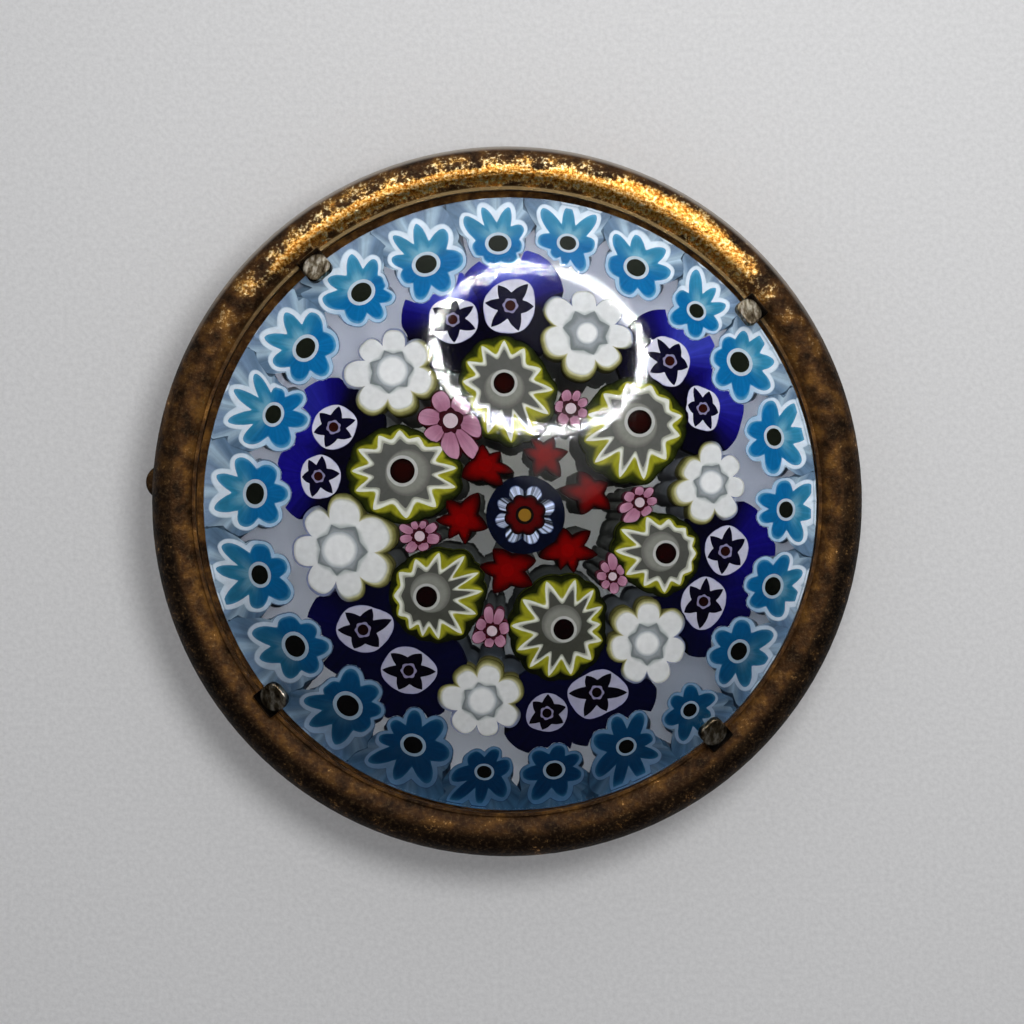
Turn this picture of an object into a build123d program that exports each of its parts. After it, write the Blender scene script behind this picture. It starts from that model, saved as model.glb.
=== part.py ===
"""Millefiori brooch: glass canes on a ground plate under a clear dome, held by four claws in a round metal setting.

Millimetres, +Z up out of the dome, +Y towards the upper edge of the worn brooch.
The origin lies under the middle of the setting, on the surface that the brooch rests on.
"""

import os
from collections import namedtuple
from math import asin, cos, hypot, radians, sin, sqrt

from build123d import *

# The cast glass
glass_radius = 18.95  # edge of the round glass
dome_rise = 5.2  # height of the dome above its straight edge
girdle_height = 1.9  # straight edge of the dome
dome_wall = 0.9  # clear glass over the cane field
dome_side = 0.4  # clear glass beside the cane field
edge_round = 0.35  # rounding where the dome meets its straight edge
ground_thickness = 0.8
glass_shift_x = 0.19  # the glass sits a little off the middle of its setting
glass_shift_y = -0.16

# The canes
cane_cover = 0.3  # from the hollow under the clear glass down to the cane tops
cane_gap = 0.12  # between one cane and the next
cane_seat = 0.1  # from the ground plate up to the canes
cane_focus = 21.0  # depth below the ground plate of the point that the inner canes lean to

# The setting
seat_gap = 0.05  # between flat faces of pieces that lie on each other
glass_clearance = 0.35  # between the edge of the glass and the wall of the setting
rim_width = 2.7  # from the bore of the setting to its outer edge
sheet = 0.6  # thickness of the stamped metal
lip_width = 0.2  # thin upright lip round the glass
lip_groove = 0.18  # depth of the groove between the lip and the rolled rim
lip_drop = 0.35  # lip below the top of the straight edge of the glass
crest_inset = 0.8  # crest of the rolled rim, from the bore
crest_lift = 0.15  # crest of the rolled rim above the lip
edge_drop = 0.95  # outer edge of the rolled rim below its crest
edge_thickness = 0.35

# The claws
claw_thickness = 0.5
claw_clearance = 0.45  # between the edge of the glass and an upright claw
claw_gap = 0.08  # between a claw and the dome that it is bent over
claw_root = 1.3  # depth of a claw in the setting, from the lip
claw_bend = 0.45  # radius of the bend, on the middle line
claw_softening = 0.12  # worn edges

# The fastening at the back
fastening_height = 3.3
strip_width = 2.16
strip_thickness = 0.5
strip_reach = 0.5  # rounded end of the strip past the rim
strip_inner_reach = 17.2  # other end of the strip, from the middle
fastening_y = 1.2
hinge_reach = 14.5  # middle of the hinge block
hinge_width = 6.0
hinge_length = 3.0
hinge_round = 1.0
catch_reach = 15.3  # middle of the catch
catch_width = 5.4
catch_length = 2.4
catch_wall = 0.35
stem_radius = 0.45
stem_play = 0.15  # between the stem and the catch
stem_past_catch = 2.2
stem_point = 1.8
stem_tip_radius = 0.08

Claw = namedtuple("Claw", "angle width overlap rounding")
CLAWS = [
    Claw(angle=129.3, width=1.70, overlap=0.85, rounding=0.45),
    Claw(angle=38.8, width=1.62, overlap=0.65, rounding=0.40),
    Claw(angle=219.3, width=1.78, overlap=0.85, rounding=0.62),
    Claw(angle=311.7, width=1.68, overlap=0.80, rounding=0.50),
]

# Each cane's place in the cast glass, from its middle: angle in degrees, and reach as a share of glass_radius.
Place = namedtuple("Place", "angle reach")
BLUE_PLACES = [
    Place(92.6, 0.839),
    Place(77.5, 0.860),
    Place(61.9, 0.862),
    Place(46.0, 0.864),
    Place(31.7, 0.869),
    Place(14.2, 0.877),
    Place(358.8, 0.889),
    Place(342.6, 0.887),
    Place(327.2, 0.876),
    Place(311.1, 0.881),
    Place(295.6, 0.866),
    Place(279.4, 0.868),
    Place(264.5, 0.867),
    Place(248.1, 0.836),
    Place(231.2, 0.833),
    Place(213.5, 0.829),
    Place(195.8, 0.837),
    Place(177.7, 0.821),
    Place(159.3, 0.814),
    Place(142.7, 0.827),
    Place(125.1, 0.832),
    Place(109.3, 0.817),
]
STAR_PLACES = [
    Place(107.3, 0.619),
    Place(89.9, 0.636),
    Place(41.8, 0.688),
    Place(26.3, 0.691),
    Place(347.6, 0.708),
    Place(333.2, 0.696),
    Place(294.7, 0.666),
    Place(280.0, 0.682),
    Place(238.7, 0.626),
    Place(220.6, 0.621),
    Place(171.8, 0.621),
    Place(156.5, 0.617),
]
WHITE_PLACES = [
    Place(131.5, 0.569),
    Place(65.7, 0.601),
    Place(6.1, 0.649),
    Place(314.5, 0.628),
    Place(261.9, 0.638),
    Place(195.1, 0.566),
]
GREEN_PLACES = [
    Place(92.8, 0.387),
    Place(32.3, 0.491),
    Place(342.4, 0.524),
    Place(293.2, 0.437),
    Place(228.1, 0.400),
    Place(163.0, 0.360),
]
PINK_PLACES = [
    Place(125.6, 0.327),
    Place(57.5, 0.362),
    Place(0.6, 0.415),
    Place(324.7, 0.402),
    Place(261.9, 0.411),
    Place(199.7, 0.307),
]
RED_PLACES = [
    Place(54.6, 0.192),
    Place(8.1, 0.263),
    Place(321.1, 0.237),
    Place(267.8, 0.212),
    Place(198.8, 0.163),
    Place(122.3, 0.146),
]
CENTRE_PLACES = [Place(322.6, 0.059)]

# Each kind of cane: radius is the share of glass_radius that it takes where it has room, ribs is the number of its
# petals or points, and depth is that of the grooves between them as a share of its radius. Canes that lean point at
# one spot deep below the middle, and the others stand upright.
Kind = namedtuple("Kind", "name places radius ribs depth rounded leans")
KINDS = [
    Kind("blue_canes", BLUE_PLACES, radius=0.113, ribs=8, depth=0.24, rounded=True, leans=False),
    Kind("star_canes", STAR_PLACES, radius=0.103, ribs=6, depth=0.13, rounded=False, leans=True),
    Kind("white_canes", WHITE_PLACES, radius=0.145, ribs=8, depth=0.26, rounded=True, leans=True),
    Kind("green_canes", GREEN_PLACES, radius=0.137, ribs=14, depth=0.20, rounded=False, leans=True),
    Kind("pink_canes", PINK_PLACES, radius=0.090, ribs=6, depth=0.28, rounded=True, leans=True),
    Kind("red_canes", RED_PLACES, radius=0.074, ribs=5, depth=0.38, rounded=False, leans=True),
    Kind("centre_cane", CENTRE_PLACES, radius=0.111, ribs=12, depth=0.05, rounded=True, leans=True),
]

# Levels, from the surface up
plate_bottom = fastening_height + seat_gap
plate_top = plate_bottom + sheet
ground_bottom = plate_top + seat_gap
ground_top = ground_bottom + ground_thickness
dome_bottom = ground_top + seat_gap
girdle_top = dome_bottom + girdle_height
apex = girdle_top + dome_rise
lip_top = girdle_top - lip_drop
crest_top = lip_top + crest_lift

# Radii of the setting, from its own middle
bore = glass_radius + glass_clearance
wall_radius = bore + sheet
rim_radius = bore + rim_width

# The dome is part of a sphere, and the hollow for the canes is part of a smaller one with the same middle.
sphere_radius = (glass_radius**2 + dome_rise**2) / (2 * dome_rise)
sphere_middle = apex - sphere_radius
hollow_sphere = sphere_radius - dome_wall
cane_sphere = hollow_sphere - cane_cover
hollow_radius = glass_radius - dome_side
field_radius = hollow_radius - cane_gap
glass_axis = Vector(glass_shift_x, glass_shift_y, 0)


def sphere_height(sphere, radius):
    """Height of a sphere about the dome's middle, at a distance from the glass's axis."""
    return sphere_middle + sqrt(sphere**2 - radius**2)


os.makedirs("parts", exist_ok=True)

# Ground plate
with BuildPart() as ground_glass:
    with BuildSketch(Plane(glass_axis).offset(ground_bottom)):
        Circle(glass_radius)
    extrude(amount=ground_thickness)
ground_glass.part.label = "ground_glass"
export_step(ground_glass.part, "parts/ground_glass.step")

# Clear dome, hollow below for the canes
with BuildPart() as clear_dome:
    with BuildSketch(Plane(glass_axis, x_dir=(1, 0, 0), z_dir=(0, -1, 0))):
        with BuildLine():
            Line((hollow_radius, dome_bottom), (glass_radius, dome_bottom))
            Line((glass_radius, dome_bottom), (glass_radius, girdle_top))
            RadiusArc((glass_radius, girdle_top), (0, apex), -sphere_radius)
            Line((0, apex), (0, apex - dome_wall))
            hollow_edge = sphere_height(hollow_sphere, hollow_radius)
            RadiusArc((0, apex - dome_wall), (hollow_radius, hollow_edge), hollow_sphere)
            Line((hollow_radius, hollow_edge), (hollow_radius, dome_bottom))
        make_face()
        shoulder = vertices().sort_by_distance((glass_radius, girdle_top))[0]
        fillet(shoulder, radius=edge_round)
    revolve(axis=Axis(glass_axis, (0, 0, 1)))
clear_dome.part.label = "clear_dome"
export_step(clear_dome.part, "parts/clear_dome.step")

# Setting: back plate, upright wall and rolled rim in one turned section
crest = (bore + crest_inset, crest_top)
rim_inner = (bore + lip_width, lip_top - lip_groove)
rim_outer = (rim_radius, crest_top - edge_drop)
under_inner = (wall_radius, lip_top - sheet)
under_outer = (rim_radius - edge_thickness, rim_outer[1] - edge_thickness)
under_crest = (crest[0] + sheet, crest_top - sheet)

with BuildPart() as setting:
    with BuildSketch(Plane.XZ):
        with BuildLine():
            Polyline(
                (0, plate_top), (0, plate_bottom), (wall_radius, plate_bottom), under_inner
            )
            ThreePointArc(under_inner, under_crest, under_outer)
            Polyline(under_outer, (rim_radius, under_outer[1]), rim_outer)
            ThreePointArc(rim_outer, crest, rim_inner)
            Polyline(
                rim_inner,
                (bore + lip_width, lip_top),
                (bore, lip_top),
                (bore, plate_top),
                (0, plate_top),
            )
        make_face()
    revolve(axis=Axis.Z)

    for claw in CLAWS:
        out = Vector(1, 0, 0).rotate(Axis.Z, claw.angle)
        side = Vector(0, -1, 0).rotate(Axis.Z, claw.angle)
        touch_radius = glass_radius - claw.overlap / 2
        slope = asin(touch_radius / sphere_radius)
        lift = claw_gap + claw_thickness / 2
        middle = Vector(
            touch_radius + lift * sin(slope),
            sphere_height(sphere_radius, touch_radius) + lift * cos(slope),
        )
        along = Vector(cos(slope), -sin(slope))
        root_radius = glass_radius + claw_clearance + claw_thickness / 2
        tip = middle - along * (claw.overlap / 2 / cos(slope) + lift * sin(slope))
        knee = middle + along * ((root_radius - middle.X) / cos(slope))
        root = Vector(root_radius, lip_top - claw_root)
        with BuildPart(mode=Mode.PRIVATE) as claw_strip:
            with BuildSketch(Plane(glass_axis, x_dir=out, z_dir=side)):
                with BuildLine():
                    FilletPolyline(root, knee, tip, radius=claw_bend)
                trace(line_width=claw_thickness)
            extrude(amount=claw.width / 2, both=True)
            tip_face = claw_strip.faces().sort_by(lambda f: (f.center() - glass_axis).dot(out))[0]
            tip_corners = tip_face.edges().filter_by(lambda e: e.length < claw.width * 0.9)
            fillet(tip_corners, radius=claw.rounding)
            fillet(claw_strip.edges(), radius=claw_softening)
        add(claw_strip.part)
setting.part.label = "setting"
export_step(setting.part, "parts/setting.step")

# Canes: each is a ribbed rod between an outline that follows the dome and one on the ground plate
Cane = namedtuple("Cane", "kind place radius")


def ground_point(place):
    """Where a cane's top lies, seen from above."""
    reach = place.reach * glass_radius
    turn = radians(place.angle)
    return reach * cos(turn), reach * sin(turn)


def room(kind, place):
    """Radius that a cane may take: its own, or its share of the way to a close neighbour."""
    x, y = ground_point(place)
    best = kind.radius * glass_radius
    for other in KINDS:
        for neighbour in other.places:
            if neighbour is place:
                continue
            u, v = ground_point(neighbour)
            share = kind.radius / (kind.radius + other.radius)
            best = min(best, hypot(x - u, y - v) * share - cane_gap / 2)
    return best


def wall_distance(place, turn):
    """Way from a cane's middle to the edge of the field, in a direction measured from straight outwards."""
    reach = place.reach * glass_radius
    across = reach * sin(radians(turn))
    return sqrt(field_radius**2 - across**2) - reach * cos(radians(turn))


def cane_outline(kind, place):
    """Ribbed outline of a cane, with a rib's crest on the x direction."""
    full = room(kind, place)
    step = 360 / kind.ribs
    crests = []
    grooves = []
    for i in range(kind.ribs):
        crest = min(full, wall_distance(place, i * step))
        groove = min(full, wall_distance(place, (i - 0.5) * step)) * (1 - kind.depth)
        crests.append(Vector(crest, 0).rotate(Axis.Z, i * step))
        grooves.append(Vector(groove, 0).rotate(Axis.Z, (i - 0.5) * step))
    with BuildLine() as outline:
        for i, crest in enumerate(crests):
            ends = grooves[i], grooves[(i + 1) % kind.ribs]
            if kind.rounded:
                ThreePointArc(ends[0], crest, ends[1])
            else:
                Polyline(ends[0], crest, ends[1])
    return outline.wire()


def make_cane(kind, place):
    """One rod, from the ground plate up to the clear glass."""
    x, y = ground_point(place)
    top = Vector(x, y, sphere_height(cane_sphere, hypot(x, y)))
    foot_level = ground_top + cane_seat
    height = top.Z - foot_level
    gather = cane_focus / (cane_focus + height) if kind.leans else 1.0
    foot = Vector(x * gather, y * gather, foot_level)
    out = Vector(x, y, 0).normalized()
    upward = Vector(x, y, top.Z - sphere_middle)
    across = Vector(0, 0, 1).cross(out)
    top_plane = Plane(top + glass_axis, x_dir=across.cross(upward), z_dir=upward)
    foot_plane = Plane(foot + glass_axis, x_dir=out, z_dir=(0, 0, 1))
    outline = cane_outline(kind, place)
    ends = [outline.moved(top_plane.location), outline.scale(gather).moved(foot_plane.location)]
    return Solid.make_loft(ends, ruled=True)


for kind in KINDS:
    with BuildPart() as cane_field:
        add([make_cane(kind, place) for place in kind.places])
    cane_field.part.label = kind.name
    export_step(cane_field.part, f"parts/{kind.name}.step")

# Fastening: strip on the back, hinge block, pin stem and catch as one plain piece
strip_bottom = fastening_height - strip_thickness
strip_left = -(rim_radius + strip_reach)
stem_level = catch_wall + stem_play + stem_radius
stem_end = catch_reach + catch_length / 2 + stem_past_catch
slot_radius = stem_radius + stem_play

with BuildPart() as pin_fastening:
    with BuildSketch(Plane.XY.offset(strip_bottom)):
        with Locations(((strip_left + strip_inner_reach) / 2, fastening_y)):
            SlotOverall(strip_inner_reach - strip_left, strip_width)
    extrude(amount=strip_thickness)
    with BuildSketch(Plane.XZ.offset(-fastening_y)):
        with Locations((-hinge_reach, strip_bottom / 2)):
            Rectangle(hinge_length, strip_bottom)
        hinge_corner = vertices().sort_by_distance((-hinge_reach - hinge_length / 2, 0))[0]
        fillet(hinge_corner, radius=hinge_round)
    extrude(amount=hinge_width / 2, both=True)
    with BuildSketch(Plane.YZ.offset(catch_reach)):
        with Locations((fastening_y, strip_bottom / 2)):
            Rectangle(catch_width, strip_bottom)
        with Locations((fastening_y, stem_level)):
            Circle(slot_radius, mode=Mode.SUBTRACT)
        with Locations((fastening_y - catch_width / 2, stem_level)):
            Rectangle(catch_width, slot_radius * 2, mode=Mode.SUBTRACT)
    extrude(amount=catch_length / 2, both=True)
    with BuildSketch(Plane.YZ.offset(-hinge_reach)):
        with Locations((fastening_y, stem_level)):
            Circle(stem_radius)
    extrude(amount=hinge_reach + stem_end - stem_point)
    with Locations(Location((stem_end - stem_point / 2, fastening_y, stem_level), (0, 90, 0))):
        Cone(stem_radius, stem_tip_radius, stem_point)
pin_fastening.part.label = "pin_fastening"
export_step(pin_fastening.part, "parts/pin_fastening.step")
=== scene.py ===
"""Millefiori brooch: looks of its glass canes, clear dome and tarnished setting, as a Blender add-on."""

import math
from collections import namedtuple

import bmesh
import bpy
import numpy as np
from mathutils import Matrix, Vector


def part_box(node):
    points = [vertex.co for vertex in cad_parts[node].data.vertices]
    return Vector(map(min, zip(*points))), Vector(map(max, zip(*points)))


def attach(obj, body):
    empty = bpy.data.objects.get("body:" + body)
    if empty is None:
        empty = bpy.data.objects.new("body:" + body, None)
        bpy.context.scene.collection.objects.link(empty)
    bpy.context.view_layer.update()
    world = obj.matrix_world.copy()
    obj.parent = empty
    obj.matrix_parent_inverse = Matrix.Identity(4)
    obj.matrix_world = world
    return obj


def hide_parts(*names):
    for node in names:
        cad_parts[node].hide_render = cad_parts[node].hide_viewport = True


bl_info = {
    "name": "Millefiori Brooch",
    "version": (1, 0, 0),
    "blender": (4, 5, 0),
    "location": "View3D > Sidebar > Brooch",
    "description": "Dresses a glass cane brooch in its claw setting",
    "category": "Object",
}

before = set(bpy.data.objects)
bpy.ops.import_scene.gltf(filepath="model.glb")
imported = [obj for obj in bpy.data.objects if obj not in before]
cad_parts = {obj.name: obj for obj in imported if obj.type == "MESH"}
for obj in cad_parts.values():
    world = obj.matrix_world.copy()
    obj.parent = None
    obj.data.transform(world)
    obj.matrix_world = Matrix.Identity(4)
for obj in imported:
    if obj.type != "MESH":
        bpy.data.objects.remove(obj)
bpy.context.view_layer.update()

MM = 0.001

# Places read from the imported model, in metres
DOME_LOW, DOME_HIGH = (Vector(corner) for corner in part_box("clear_dome"))
GROUND_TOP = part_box("ground_glass")[1][2]
GLASS_X = (DOME_LOW.x + DOME_HIGH.x) / 2
GLASS_Y = (DOME_LOW.y + DOME_HIGH.y) / 2
GLASS_RADIUS = (DOME_HIGH.x - DOME_LOW.x) / 2

# The dome: chamfer of its foot, and how finely its rounded edge, its top and its turns are divided
FOOT_CHAMFER = 0.05 * MM
EDGE_STEPS, DOME_STEPS, DOME_SEGMENTS = 8, 48, 256

# The metal: top of the rim, height at which the claws start, height of their crowns, and the crowns' middles
# in mm
RIM_TOP = 6.55 * MM
CLAW_START = 6.62 * MM
CROWN_HEIGHT = 7.4 * MM
CLAW_CROWNS = ((-11.75, 14.43), (14.88, 11.65), (-14.4, -12.1), (12.73, -14.23))

# The canes: what they leave free inside the edge of the glass, the seed that each grows from, the gap under
# their feet, how far off the focus of upright ones is, and where down its side a cane has a ring of points
CANE_MARGIN = 0.35 * MM
SEED_RADIUS = 0.02
FOOT_GAP = 0.02 * MM
NO_FOCUS = 1000.0
SIDE_RINGS = (0.03, 0.1, 0.2, 0.35, 0.55, 0.78, 1.0)

# Steps and reach of the walk that finds how much room a cane has
WALK_STEP = 0.02 * MM
WALK_REACH = 4.6 * MM

# The soft lamps: diameter, share of the light, place from the camera's aim, and whether it casts shadows
AIM = Vector((0.31 * MM, -0.66 * MM, RIM_TOP))
SOFT_LAMPS = {
    "key_lamp": (0.06, 1.12, (0.03, 0.032, 0.15), True),
    "wash_lamp": (0.05, 0.58, (0.02, 0.09, 0.09), False),
}
# The round tube lamp, as a ring of small discs: the direction and distance of its middle, how wide it looks
# from the brooch, how much it is pressed flat, and the count, diameter and power of its discs
RING_TILT, RING_SWING, RING_DISTANCE = math.radians(32.6), math.radians(79.5), 0.5
RING_SPREAD, RING_FLATNESS = math.radians(20.5), 0.81
RING_COUNT, RING_DISC, RING_POWER = 120, 0.0045, 0.017
FLOOR_HALF = 3.0

# One cane: its place as an angle in degrees about the glass's axis and a reach as a share of the glass's
# radius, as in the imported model, the scale of its middle, and the tips of its petals, points or teeth, each
# as an angle in degrees and a length in mm from the cane's middle.
Cane = namedtuple("Cane", "angle reach size tips")

BLUE_CANES = [
    Cane(92.6, 0.839, 1.00, (
        (34, 1.9), (74, 2.4), (114, 2.5), (141, 2.7), (204, 1.6), (237, 1.4), (317, 1.6), (347, 1.5),
    )),
    Cane(77.5, 0.860, 0.85, (
        (45, 2.5), (89, 2.4), (126, 2.7), (176, 1.9), (225, 1.3), (259, 1.4), (297, 2.0), (356, 1.7),
    )),
    Cane(61.9, 0.862, 1.00, (
        (32, 2.2), (90, 2.1), (122, 2.5), (170, 1.8), (250, 1.8), (297, 2.1), (352, 2.2),
    )),
    Cane(46.0, 0.864, 0.80, (
        (12, 1.9), (50, 1.9), (90, 2.6), (137, 1.65), (200, 1.75), (268, 1.7), (318, 1.75),
    )),
    Cane(31.7, 0.869, 1.10, (
        (1, 2.2), (47, 2.4), (82, 2.0), (120, 1.8), (167, 1.7), (224, 2.0), (272, 2.4), (319, 2.5),
    )),
    Cane(14.2, 0.877, 0.90, (
        (6, 2.3), (57, 2.5), (95, 2.3), (163, 1.8), (213, 1.9), (268, 2.3), (315, 2.35),
    )),
    Cane(358.8, 0.889, 0.85, (
        (44, 2.25), (94, 1.85), (157, 1.95), (199, 1.8), (249, 1.95), (294, 2.2), (350, 1.8),
    )),
    Cane(342.6, 0.887, 0.95, (
        (27, 2.1), (65, 2.15), (114, 1.8), (178, 1.7), (219, 1.85), (283, 2.0), (336, 1.9),
    )),
    Cane(327.2, 0.876, 0.95, (
        (27, 2.45), (84, 2.0), (141, 1.85), (192, 1.9), (243, 2.3), (281, 2.3), (343, 2.0),
    )),
    Cane(311.1, 0.881, 0.75, (
        (28, 1.8), (90, 1.6), (146, 1.4), (205, 1.75), (257, 2.0), (305, 1.8), (345, 1.4),
    )),
    Cane(295.6, 0.866, 0.80, (
        (18, 1.75), (66, 2.3), (110, 2.0), (166, 2.1), (226, 2.6), (256, 2.8), (298, 2.5), (344, 2.1),
    )),
    Cane(279.4, 0.868, 0.85, (
        (30, 1.8), (74, 1.6), (141, 1.7), (189, 2.0), (235, 2.3), (290, 1.8), (350, 1.75),
    )),
    Cane(264.5, 0.867, 0.75, (
        (23, 1.7), (59, 1.65), (120, 1.45), (193, 2.1), (221, 2.9), (261, 2.1), (308, 2.0),
    )),
    Cane(248.1, 0.836, 1.00, (
        (40, 2.35), (88, 2.2), (132, 2.0), (168, 2.2), (200, 3.0), (242, 2.5), (291, 2.6), (344, 2.35),
    )),
    Cane(231.2, 0.833, 1.20, (
        (28, 2.2), (85, 2.35), (135, 1.85), (174, 2.8), (207, 2.75), (252, 2.6), (312, 1.95), (351, 2.15),
    )),
    Cane(213.5, 0.829, 1.15, (
        (0, 2.15), (46, 1.8), (105, 1.95), (163, 2.85), (199, 2.4), (259, 2.1), (309, 2.1),
    )),
    Cane(195.8, 0.837, 1.00, (
        (23, 1.85), (86, 1.95), (143, 3.0), (172, 2.8), (219, 2.9), (263, 2.15), (323, 2.35),
    )),
    Cane(177.7, 0.821, 1.10, (
        (0, 2.1), (55, 2.05), (117, 2.5), (155, 2.7), (200, 2.75), (249, 2.2), (307, 2.2),
    )),
    Cane(159.3, 0.814, 0.95, (
        (33, 2.2), (78, 1.7), (115, 2.8), (148, 2.95), (188, 2.9), (222, 2.5), (291, 2.2), (350, 2.2),
    )),
    Cane(142.7, 0.827, 1.10, (
        (8, 1.95), (78, 2.3), (120, 2.6), (165, 2.7), (204, 2.25), (256, 2.15), (308, 2.15),
    )),
    Cane(125.1, 0.832, 1.10, (
        (24, 1.6), (68, 2.25), (105, 2.5), (158, 2.3), (190, 2.5), (263, 2.0), (308, 2.1), (351, 2.0),
    )),
    Cane(109.3, 0.817, 1.10, (
        (9, 2.35), (63, 2.5), (104, 2.65), (139, 2.75), (172, 2.2), (212, 1.8), (259, 2.3), (309, 2.15),
    )),
]
STAR_CANES = [
    Cane(107.3, 0.619, 1.00, ((33, 1.5), (80, 1.2), (150, 1.4), (212, 1.35), (274, 1.4), (337, 1.5))),
    Cane(89.9, 0.636, 1.08, ((51, 1.7), (121, 1.45), (174, 1.55), (228, 1.75), (288, 1.6), (358, 1.4))),
    Cane(41.8, 0.688, 1.00, ((62, 1.2), (119, 1.55), (160, 1.55), (209, 1.4), (280, 1.5), (341, 1.15))),
    Cane(26.3, 0.691, 0.90, ((70, 1.1), (113, 1.4), (167, 0.95), (246, 1.2), (291, 1.35), (344, 0.95))),
    Cane(347.6, 0.708, 1.00, ((32, 1.4), (80, 1.5), (135, 1.3), (199, 1.15), (261, 1.4), (317, 1.25))),
    Cane(333.2, 0.696, 1.00, ((32, 1.4), (83, 1.45), (131, 1.25), (209, 1.35), (262, 1.65), (335, 1.25))),
    Cane(294.7, 0.666, 1.02, ((0, 1.85), (53, 1.45), (122, 1.2), (182, 1.7), (243, 1.65), (298, 1.3))),
    Cane(280.0, 0.682, 0.95, ((18, 1.2), (87, 1.15), (141, 1.1), (211, 1.25), (255, 1.05), (329, 1.15))),
    Cane(238.7, 0.626, 1.10, ((52, 1.3), (136, 1.5), (178, 1.6), (242, 1.3), (305, 1.4), (358, 1.65))),
    Cane(220.6, 0.621, 1.12, ((20, 1.85), (67, 1.4), (136, 1.5), (180, 1.55), (244, 1.25), (313, 1.4))),
    Cane(171.8, 0.621, 0.92, ((7, 1.3), (80, 1.25), (121, 1.15), (183, 1.0), (253, 1.3), (310, 1.35))),
    Cane(156.5, 0.617, 1.00, ((18, 1.4), (75, 1.3), (135, 1.2), (195, 1.25), (248, 1.3), (331, 1.25))),
]
WHITE_CANES = [
    Cane(131.5, 0.569, 1.00, (
        (38, 2.4), (88, 2.5), (135, 2.45), (184, 2.95), (234, 2.8), (289, 2.4), (337, 2.5),
    )),
    Cane(65.7, 0.601, 0.70, (
        (45, 2.6), (97, 2.6), (140, 3.0), (195, 2.6), (258, 2.6), (315, 2.5), (350, 2.7),
    )),
    Cane(6.1, 0.649, 0.77, (
        (43, 2.1), (88, 2.35), (148, 1.8), (200, 2.25), (250, 2.4), (304, 2.4), (347, 2.05),
    )),
    Cane(314.5, 0.628, 0.80, (
        (42, 2.6), (88, 2.45), (135, 2.4), (188, 2.2), (248, 2.45), (291, 2.55), (345, 2.3),
    )),
    Cane(261.9, 0.638, 0.92, (
        (20, 2.35), (77, 2.2), (126, 2.1), (171, 2.5), (232, 2.35), (284, 2.2), (327, 2.4),
    )),
    Cane(195.1, 0.566, 1.15, (
        (22, 3.2), (88, 3.1), (128, 2.85), (180, 2.8), (242, 2.9), (285, 2.95), (329, 3.2),
    )),
]
GREEN_CANES = [
    Cane(92.8, 0.387, 0.98, (
        (21, 2.4), (60, 2.45), (90, 2.6), (121, 2.65), (150, 2.6), (178, 2.5),
        (219, 2.4), (252, 3.2), (277, 3.6), (299, 3.6), (325, 3.3), (352, 3.0),
    )),
    Cane(32.3, 0.491, 1.12, (
        (8, 2.6), (37, 2.25), (73, 2.35), (108, 2.5), (142, 2.8), (172, 3.2),
        (199, 3.5), (222, 3.7), (250, 3.6), (274, 3.5), (305, 2.8), (341, 2.6),
    )),
    Cane(342.4, 0.524, 0.96, (
        (0, 1.85), (28, 1.95), (52, 1.95), (85, 2.1), (118, 2.5), (152, 3.1),
        (177, 3.1), (208, 2.75), (236, 2.4), (268, 2.4), (294, 2.1), (326, 1.9),
    )),
    Cane(293.2, 0.437, 0.96, (
        (8, 2.25), (31, 2.7), (53, 3.0), (77, 3.1), (110, 3.1), (144, 3.1), (176, 3.2),
        (204, 3.1), (228, 3.1), (252, 3.0), (279, 2.8), (312, 2.5), (343, 2.4),
    )),
    Cane(228.1, 0.400, 0.98, (
        (6, 3.4), (25, 3.5), (47, 3.4), (74, 2.8), (106, 2.4), (138, 2.25), (178, 2.0),
        (213, 2.05), (242, 2.2), (264, 2.4), (286, 2.65), (314, 3.1), (341, 3.2),
    )),
    Cane(163.0, 0.360, 1.14, (
        (3, 3.3), (30, 2.9), (64, 2.3), (94, 2.5), (124, 2.6), (154, 3.0),
        (180, 3.1), (203, 3.1), (233, 2.95), (275, 2.9), (313, 3.0), (343, 3.4),
    )),
]
PINK_CANES = [
    Cane(125.6, 0.327, 1.45, (
        (65, 1.6), (113, 1.9), (175, 1.95), (214, 1.85), (273, 2.4), (307, 2.8), (338, 2.0),
    )),
    Cane(57.5, 0.362, 1.05, (
        (28, 1.1), (66, 1.15), (104, 1.15), (172, 0.95), (235, 1.1), (290, 1.1), (338, 1.1),
    )),
    Cane(0.6, 0.415, 0.95, (
        (6, 1.05), (49, 1.15), (88, 0.95), (152, 1.0), (203, 1.3), (232, 1.5), (318, 0.9),
    )),
    Cane(324.7, 0.402, 0.80, (
        (38, 0.85), (93, 1.4), (128, 1.0), (178, 0.95), (230, 0.9), (275, 1.05), (335, 0.95),
    )),
    Cane(261.9, 0.411, 1.00, (
        (15, 1.05), (68, 1.45), (98, 1.5), (148, 1.05), (207, 1.3), (258, 1.0), (305, 1.15),
    )),
    Cane(199.7, 0.307, 1.00, (
        (37, 1.2), (75, 0.95), (113, 0.95), (153, 1.35), (190, 1.2), (230, 1.2), (290, 0.9), (350, 1.2),
    )),
]
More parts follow.
